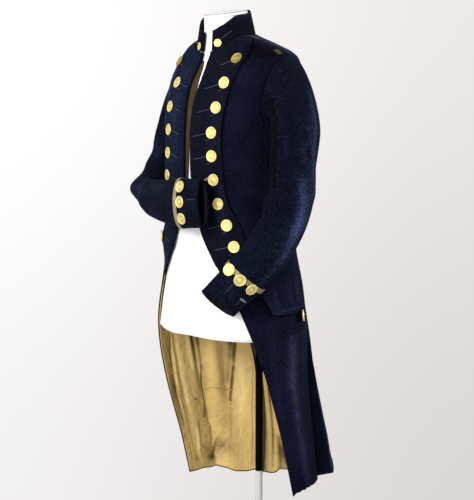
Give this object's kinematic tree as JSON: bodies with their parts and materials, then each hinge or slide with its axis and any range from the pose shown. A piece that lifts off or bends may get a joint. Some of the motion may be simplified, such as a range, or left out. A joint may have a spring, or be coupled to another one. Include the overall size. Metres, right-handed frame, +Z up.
{
  "type": "frock coat on dress form",
  "caption": "Navy wool frock coat with button-back lapels, stand collar, turned cuffs and buff-lined tails, shown worn on a limbless dress form with a pole and a round base",
  "frame": {"origin": "centre of the underside of the stand's round base", "axes": "+Z up, -Y the way the wearer faces, +X the wearer's left"},
  "size_m": [0.4993, 0.4574, 1.4951],
  "materials": {
    "navy_wool": "felted wool broadcloth, matt with a slight nap",
    "buff_lining": "buff wool or linen lining, creased and stained",
    "gilt_buttons": "pale gilt, slightly dulled",
    "gold_braid": "tarnished metal-thread braid",
    "dress_form": "matt white",
    "stand": "black satin"
  },
  "bodies": {
    "root": {"back_left": "navy_wool", "back_right": "navy_wool", "base": "stand", "braid_left": "gold_braid", "braid_right": "gold_braid", "collar": "navy_wool", "collar_button_left": "gilt_buttons", "collar_button_right": "gilt_buttons", "cuff_button_left_1": "gilt_buttons", "cuff_button_left_2": "gilt_buttons", "cuff_button_left_3": "gilt_buttons", "cuff_button_right_1": "gilt_buttons", "cuff_button_right_2": "gilt_buttons", "cuff_button_right_3": "gilt_buttons", "cuff_left": "navy_wool", "cuff_right": "navy_wool", "flap_button_left": "gilt_buttons", "flap_button_right": "gilt_buttons", "flap_left": "navy_wool", "flap_right": "navy_wool", "form": "dress_form", "front_left": "navy_wool", "front_right": "navy_wool", "lapel_button_left_1": "gilt_buttons", "lapel_button_left_2": "gilt_buttons", "lapel_button_left_3": "gilt_buttons", "lapel_button_left_4": "gilt_buttons", "lapel_button_left_5": "gilt_buttons", "lapel_button_left_6": "gilt_buttons", "lapel_button_left_7": "gilt_buttons", "lapel_button_left_8": "gilt_buttons", "lapel_button_left_9": "gilt_buttons", "lapel_button_right_1": "gilt_buttons", "lapel_button_right_2": "gilt_buttons", "lapel_button_right_3": "gilt_buttons", "lapel_button_right_4": "gilt_buttons", "lapel_button_right_5": "gilt_buttons", "lapel_button_right_6": "gilt_buttons", "lapel_button_right_7": "gilt_buttons", "lapel_button_right_8": "gilt_buttons", "lapel_button_right_9": "gilt_buttons", "lapel_left": "navy_wool", "lapel_right": "navy_wool", "lining_back_left": "buff_lining", "lining_back_right": "buff_lining", "lining_front_left": "buff_lining", "lining_front_right": "buff_lining", "pole": "stand", "shoulder_loop_left_1": "gold_braid", "shoulder_loop_left_2": "gold_braid", "shoulder_loop_right_1": "gold_braid", "shoulder_loop_right_2": "gold_braid", "sleeve_left": "navy_wool", "sleeve_right": "navy_wool"}
  },
  "joints": []
}
